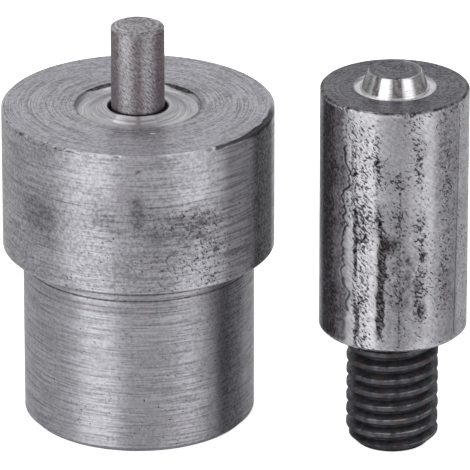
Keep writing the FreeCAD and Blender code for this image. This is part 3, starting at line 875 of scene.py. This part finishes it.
# Upright bands of painted shade on the upper die's side: angle, half width, strength
UPPER_SHADES = [
    (0.0, 9.0, 0.1),
    (37.0, 4.0, 0.2),
    (49.0, 5.0, 0.3),
]
# Bands of painted shade on the boss's cone: angle, half width, strength
CONE_SHADES = [
    (-70.0, 16.0, 0.35),
    (-38.0, 5.0, 0.85),
    (3.0, 7.0, 0.75),
    (52.0, 12.0, 0.65),
]
# Upright bands of painted highlight on the upper die's side: first and last angle, soft edge, strength
UPPER_BRIGHTS = [
    (-38.0, -17.0, 4.0, 0.9),
    (13.0, 27.0, 7.0, 0.4),
    (60.0, 90.0, 6.0, 0.8),
    (-100.0, -76.0, 6.0, 0.6),
]


def scale_streaks(angle, height, side):
    """How thick the pitted mill scale is, in upright streaks."""
    scale = 0.2 + 0.25 * patches(25, angle, height, 26, 0.15) + 0.2 * patches(28, angle, height, 40, 0.7)
    for centre, half_width, low, high, strength in SCALE_STREAKS:
        wander = 2.5 * patches(26, centre, height, 12, 0.35)
        across = ease(1.0 - np.abs(angle_between(angle, centre + wander)) / half_width)
        across = across * (0.6 + 0.4 * patches(29, centre, height, 8, 0.9))
        scale = scale + across * band(height, low, high, 1.2) * strength
    return side * np.clip(scale, 0.0, 0.85)


def crack_line(angle, height, side, marks):
    """The wandering crack at the front left. The side left of it is darkened with painted shade."""
    crack = -41.0 + 4.0 * patches(33, 0.0, height, 4, 0.45)
    crack = crack + 2.0 * patches(34, 0.0, height, 4, 1.6) + 1.4 * patches(36, 0.0, height, 4, 4.0)
    off_crack = angle_between(angle, crack)
    width = 1.6 + 0.6 * patches(40, 0.0, height, 4, 2.0)
    line = ease(1.3 - np.abs(off_crack) / width) * (side * band(height, 3.6, 18.2, 0.8))
    dark = side * ease(-off_crack / 3.0) * (0.68 + 0.32 * ease((-off_crack - 7.0) / 9.0))
    # Painted shade left of the crack.
    strengthen(marks, "stain_and_shade", dark * ease((angle + 82.0) / 14.0) * (angle < 0.0))
    return line * (0.85 + 0.15 * ease((height - 8.0) / 4.0))


def mark_scars(angle, radius, height, side, marks):
    """Dark scars with frayed edges, soft blotches and wide mottled parts."""
    frayed = layered(44, angle, height, 120, 2.0, 3)
    for centre, half_width, low, high, strength in SCARS:
        wander = 0.5 * half_width * patches(45, centre, height, 4, 0.7)
        width = half_width * (1.0 + 0.45 * patches(47, centre, height, 4, 0.5))
        off_scar = np.abs(angle_between(angle, centre + wander)) / width + 0.7 * frayed
        scar = side * ease((1.25 - off_scar) / 0.6) * band(height + frayed, low, high, 0.5)
        strengthen(marks, "scale", scar * strength * 1.05)
        strengthen(marks, "stain_and_shade", scar * strength)
        radius = radius - scar * 0.015
    for centre, up, half_angle, half_height, strength in BLOTCHES:
        blotch = side * spot(angle + 4.0 * frayed, height, centre, up, half_angle, half_height)
        strengthen(marks, "stain_and_shade", blotch * strength)
    mottling = np.clip(0.55 + 0.9 * layered(46, angle, height, 150, 3.0, 2), 0.0, 1.3)
    for centre, up, half_angle, half_height, strength in MOTTLES:
        mottle = side * spot(angle, height, centre, up, half_angle, half_height) * mottling
        strengthen(marks, "stain_and_shade", mottle * strength)
    return radius


def shade_upper_side(angle, height, side, marks):
    """Upright bands of painted shade and painted highlight on the side."""
    for centre, half_width, strength in UPPER_SHADES:
        shade = side * band(angle, centre - half_width, centre + half_width, 6.0)
        strengthen(marks, "stain_and_shade", shade * strength)
    bright = 0.0
    for first, last, soft, strength in UPPER_BRIGHTS:
        bright = bright + strength * band(angle, first, last, soft)
    wear_and_highlight = side * np.clip(bright * (0.75 + 0.4 * patches(37, angle, height, 60, 1.2)), 0.0, 1.0)
    strengthen(marks, "wear_and_highlight", wear_and_highlight * (1.0 - np.minimum(marks["stain_and_shade"] * 1.2, 1.0)))


def upper_edge_wear_and_light(angle, radius, height, side, marks):
    """Flaked upper edge, painted shade on its chamfer, and painted highlights under it and on the foot.
    """
    depth = PUNCH - radius + np.maximum(PUNCH_LENGTH - EDGE - height, 0.0)
    near_edge = ease(1.0 - depth / 0.3) * (height > 21.0)
    flakes = ease((layered(35, angle, 4.0 * height, 130, 1.0, 3) - 0.1) / 0.4) * near_edge
    flakes = flakes * (0.4 + 0.6 * band(angle, -80.0, -30.0, 20.0))
    radius = radius - flakes * 0.04
    height = height - flakes * 0.02
    # Painted shade on the chamfer.
    chamfer = (radius > PUNCH - 0.22) * ease((height - PUNCH_LENGTH + 0.17) / 0.04)
    chamfer = chamfer * (0.85 + 0.3 * patches(39, angle, 0.0, 90, 1.0))
    strengthen(marks, "stain_and_shade", np.maximum(flakes * 0.6, chamfer))
    # Painted highlights: a line under the upper edge and a band round the foot.
    rim = side * band(height, PUNCH_LENGTH - 0.33, PUNCH_LENGTH - 0.26, 0.1)
    rim = rim * band(angle, -64.0, 30.0, 15.0)
    strengthen(marks, "wear_and_highlight", rim * ease(0.6 + 0.8 * patches(38, angle, height, 50, 1.0)) * 0.8)
    foot = side * ease(1.0 - np.abs(height - 0.25) / 0.25)
    strengthen(marks, "wear_and_highlight", foot * 0.75)
    marks["wear_and_highlight"] = marks["wear_and_highlight"] * np.maximum(1.0 - chamfer, 0.0)
    return radius, height


def mark_boss(angle, radius, height, zone, marks):
    """Painted shade bands on the boss's cone, painted highlight in its groove, its worn nick and worn
    edge.
    """
    boss = zone == "boss"
    cone = boss * (height > PUNCH_LENGTH)
    for centre, half_width, strength in CONE_SHADES:
        shade = cone * band(angle, centre - half_width, centre + half_width, 4.0)
        strengthen(marks, "stain_and_shade", shade * strength)
    # Painted highlight in the groove, away from its front.
    hollow = boss * (radius > 2.95) * (height < PUNCH_LENGTH) * ease((np.abs(angle) - 25.0) / 20.0)
    strengthen(marks, "wear_and_highlight", hollow * 0.7)
    nick = (height > PUNCH_LENGTH + 1.2) * (radius > 0.1) * spot(angle, radius, 3.0, 2.25, 11.0, 0.4)
    height = height - nick * 0.1
    strengthen(marks, "stain_and_shade", nick * 0.7)
    worn_arc = (height > PUNCH_LENGTH + 1.3) * ease(1.0 - np.abs(radius - 2.22) / 0.1)
    strengthen(marks, "wear_and_highlight", worn_arc * band(angle, 35.0, 150.0, 12.0) * 2.0)
    return height


def carve_upper_die(angle, radius, height, zone):
    """All the carving and all the marks of the upper die."""
    side = zone == "side"
    marks = blank_marks(radius)
    marks["scale"] = scale_streaks(angle, height, side)
    speckle = layered(21, angle, height, 200, 4.5, 2)
    marks["pit_and_shade"] = side * ease((speckle + marks["scale"] * 0.9 - 0.85) / 0.3)
    radius = radius - marks["pit_and_shade"] * 0.03
    radius = radius + side * layered(31, angle, height, 40, 0.6, 3) * 0.006
    crack = crack_line(angle, height, side, marks)
    radius = mark_scars(angle, radius, height, side, marks)
    scratch_angle = 53.7 + 5.3 * height / PUNCH_LENGTH
    scratch = side * ease(1.0 - np.abs(angle_between(angle, scratch_angle)))
    scratch = scratch * band(height, 1.0, 21.3, 0.4)
    radius = radius - crack * 0.04 - scratch * 0.03
    strengthen(marks, "pit_and_shade", np.maximum(crack * 0.95, scratch * 0.75))
    shade_upper_side(angle, height, side, marks)
    radius, height = upper_edge_wear_and_light(angle, radius, height, side, marks)
    height = mark_boss(angle, radius, height, zone, marks)
    return radius, height, marks



def make_upper_die():
    """The plain cylinder with its boss, curling groove and tapped hole."""
    materials = {
        "side": steel("scaled_steel", (0.7, 0.69, 0.735), (0.33, 0.32, 0.345), 0.25, "slanted",
                      line_rate=5.0, line_shade=0.45, stretch=0.35, grain=0.8, relief=0.02,
                      grime_and_shade=(0.07, 0.058, 0.061)),
        "face": steel("dark_face_steel", (0.25, 0.246, 0.278), (0.07, 0.07, 0.084), 0.34, "rings",
                      line_rate=6.0, line_shade=0.7, relief=0.01, cloud_rate=0.9, cloud_shade=0.6,
                      grain=1.6),
        "boss": steel("polished_boss_steel", (0.8, 0.79, 0.81), (0.4, 0.39, 0.4), 0.15, "round",
                      line_rate=8.0, line_shade=0.6, relief=0.003, stretch=0.4, grain=0.4,
                      grime_and_shade=(0.1, 0.075, 0.075)),
        "hole": steel("tapped_steel", (0.3, 0.29, 0.3), (0.16, 0.155, 0.16), 0.4, "round"),
    }
    corners = [
        (0.0, 13.2),
        (TAPPED, 10.8, "hole", 0.8),
        (TAPPED, 0.08, "hole", 1.0),
        (4.1, 0.0, "hole", 0.1),
        (6.1, 0.0, "face", 0.4),
        (PUNCH, 0.25, "side", 0.07),
        (PUNCH, PUNCH_LENGTH - EDGE, "side", 0.1),
        (PUNCH - EDGE, PUNCH_LENGTH, "side", 0.05),
        (3.55, PUNCH_LENGTH, "face", 0.12),
        (2.927, PUNCH_LENGTH - 0.2, "boss", 0.05, -0.15),
        (2.3, PUNCH_LENGTH + 1.44, "boss", 0.08),
        (2.24, PUNCH_LENGTH + BOSS_HEIGHT, "boss", 0.03),
        (0.0, PUNCH_LENGTH + BOSS_HEIGHT, "face", 0.1),
    ]
    thing = turned("upper_die_punch", corners, 480, materials, carve_upper_die)
    thing.location = (UPPER_AXIS[0] * MM, UPPER_AXIS[1] * MM, UPPER_SEAT * MM)
    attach(thing, "upper_die")
    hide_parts("upper_die_body")


# Threaded stud

STUD_LENGTH = 20.0
STUD = 4.0
STUD_END = 3.1
STUD_CHAMFER = 0.9
STUD_PITCH = 1.25
SOCKET = 2.1
SOCKET_DEPTH = 4.5


def carve_stud(angle, radius, height, zone):
    """The coarse right-hand thread with worn crests and painted highlight lines on them, and the hexagon
    socket.
    """
    thread = zone == "thread"
    socket = zone == "socket"
    cut, from_crest = thread_radius(angle, height, 3.96, 0.72, STUD_PITCH, flat=0.3)
    cut = cut + 0.035 * layered(41, angle, height, 24, 1.2)
    radius = np.where(thread, np.minimum(radius, cut), radius)
    corner = (angle + 30.0) % 60.0 - 30.0
    radius = np.where(socket & (radius > 1.0), 2.0 / np.cos(np.radians(corner)), radius)
    above_crest = (height / STUD_PITCH - angle / FULL_TURN) % 1.0 - 0.5
    # Lines along both crest edges: worn oxide and painted highlights.
    crest_line_strength = np.clip(0.3 + 1.3 * layered(43, angle, height, 18, 0.7), 0.0, 0.9)
    wear_and_highlight = ease(1.0 - np.abs(above_crest - 0.15) / 0.05) * crest_line_strength
    wear_and_highlight = np.maximum(wear_and_highlight, ease(1.0 - np.abs(above_crest + 0.17) / 0.05) * 0.6 * crest_line_strength)
    root = thread * ease((from_crest - 0.48) / 0.4) * 0.8
    return radius, height, {"wear_and_highlight": thread * wear_and_highlight, "root": root}


def make_stud():
    """The black stud that the upper die is fastened by."""
    oxide = black_oxide("black_oxide_steel")
    materials = {"socket": oxide, "thread": oxide}
    corners = [
        (0.0, SOCKET_DEPTH),
        (SOCKET, SOCKET_DEPTH, "socket", 3.0),
        (SOCKET, 0.0, "socket", 1.0),
        (STUD_END, 0.0, "socket", 0.5),
        (STUD, STUD_CHAMFER, "thread", 0.045),
        (STUD, STUD_LENGTH - STUD_CHAMFER, "thread", 0.045),
        (STUD_END, STUD_LENGTH, "thread", 0.045),
        (0.0, STUD_LENGTH, "socket", 0.8),
    ]
    thing = turned("threaded_stud_black", corners, 192, materials, carve_stud, sharp_from=60.0)
    thing.location = (UPPER_AXIS[0] * MM, UPPER_AXIS[1] * MM, 0.0)
    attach(thing, "upper_die")
    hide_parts("threaded_stud")


# Stage: floor, light and camera

def make_floor():
    """A plain pale floor that is a little lit from below, as a light table is."""
    shader = Shader(bpy.data.materials.new("pale_floor"))
    seen = shader.add("ShaderNodeLightPath").outputs["Is Camera Ray"]
    paint = shader.add("ShaderNodeBsdfDiffuse", {"Color": (0.8, 0.8, 0.8, 1.0)})
    glow = shader.add("ShaderNodeEmission", {"Color": (1.0, 1.0, 1.0, 1.0), "Strength": 0.8})
    lit = shader.add("ShaderNodeAddShader", {0: paint.outputs[0], 1: glow.outputs[0]})
    matt = shader.add("ShaderNodeBsdfDiffuse", {"Color": (0.6, 0.6, 0.6, 1.0)})
    gloss = shader.add("ShaderNodeBsdfGlossy", {"Color": (0.9, 0.9, 0.9, 1.0), "Roughness": 0.25})
    mirror = shader.add("ShaderNodeMixShader", {0: 0.5, 1: matt.outputs[0], 2: gloss.outputs[0]})
    both = shader.add("ShaderNodeMixShader", {0: seen, 1: mirror.outputs[0], 2: lit.outputs[0]})
    material = shader.finish(both.outputs[0])
    half = 3.0
    ends = [(-half, -half, 0), (half, -half, 0), (half, half, 0), (-half, half, 0)]
    mesh = bpy.data.meshes.new("floor")
    mesh.from_pydata(ends, [], [(0, 1, 2, 3)])
    mesh.materials.append(material)
    floor = bpy.data.objects.new("floor", mesh)
    floor.location.z = -0.02 * MM
    bpy.context.scene.collection.objects.link(floor)


ROOM = 0.68
# Brighter and darker parts of the room: middle angle round the object, half width, soft edge,
# lowest and highest elevation, soft edge, brightness added
ROOM_PARTS = [
    (-42.0, 20.0, 6.0, -10.0, 62.0, 8.0, 1.2),
    (50.0, 16.0, 6.0, -10.0, 62.0, 8.0, 0.9),
    (6.0, 24.0, 10.0, -90.0, 90.0, 1.0, -0.1),
    (-108.0, 30.0, 12.0, -90.0, 90.0, 1.0, -0.16),
    (130.0, 17.0, 12.0, -90.0, 90.0, 1.0, -0.36),
    (0.0, 190.0, 1.0, 72.0, 100.0, 8.0, -0.56),
    (-156.0, 11.0, 6.0, 49.0, 66.0, 5.0, 1.3),
    (164.0, 7.0, 5.0, 49.0, 66.0, 5.0, 1.1),
]


def make_light():
    """A pale room with brighter and darker parts, unseen by the camera, which sees plain white."""
    world = bpy.data.worlds.new("studio")
    bpy.context.scene.world = world
    shader = Shader(world)
    ray = shader.add("ShaderNodeTexCoord").outputs["Generated"]
    x, y, z = shader.add("ShaderNodeSeparateXYZ", {0: ray}).outputs
    degrees = 180.0 / math.pi
    to_front = shader.math("MULTIPLY", y, -1.0)
    angle = shader.math("MULTIPLY", shader.math("ARCTAN2", x, to_front), degrees)
    rise = shader.math("MULTIPLY", shader.math("ARCSINE", z), degrees)
    total = ROOM
    for middle, half_width, soft, lowest, highest, soft_rise, added in ROOM_PARTS:
        off_side = shader.math("ABSOLUTE", shader.math("SUBTRACT", angle, middle))
        off_height = shader.math("ABSOLUTE", shader.math("SUBTRACT", rise, (lowest + highest) / 2.0))
        half_height = (highest - lowest) / 2.0
        wide = shader.between(off_side, half_width - soft, half_width + soft, 1.0, 0.0)
        tall = shader.between(off_height, half_height - soft_rise, half_height + soft_rise, 1.0, 0.0)
        total = shader.math("MULTIPLY_ADD", shader.math("MULTIPLY", wide, tall), added, total)
    total = shader.math("MAXIMUM", total, 0.0)
    seen = shader.add("ShaderNodeLightPath").outputs["Is Camera Ray"]
    unseen = shader.math("SUBTRACT", 1.0, seen)
    strength = shader.math("ADD", shader.math("MULTIPLY", total, unseen), seen)
    light = shader.add("ShaderNodeBackground", {"Color": (1.0, 1.0, 1.0, 1.0), "Strength": strength})
    shader.add("ShaderNodeOutputWorld", {"Surface": light.outputs[0]})


def make_camera():
    """A view from a little above, through a long lens, that frames both dies."""
    elevation = math.radians(23.0)
    distance = 0.6
    photo_width, mm_per_pixel = 470, 0.0861
    view_width = photo_width * mm_per_pixel * MM
    target = Vector((8.34, -3.0, 17.48)) * MM
    back = Vector((0.0, -math.cos(elevation), math.sin(elevation)))
    lens = bpy.data.cameras.new("camera")
    lens.sensor_width = 36.0
    lens.lens = lens.sensor_width * distance / view_width
    lens.clip_start, lens.clip_end = 0.01, 20.0
    camera = bpy.data.objects.new("camera", lens)
    camera.location = target + back * distance
    camera.rotation_mode = "QUATERNION"
    camera.rotation_quaternion = (-back).to_track_quat("-Z", "Y")
    bpy.context.scene.collection.objects.link(camera)
    bpy.context.scene.camera = camera


make_lower_die()
make_pilot_pin()
make_spring()
make_plug()
make_upper_die()
make_stud()
make_floor()
make_light()
make_camera()
bpy.context.scene.view_settings.view_transform = "Standard"
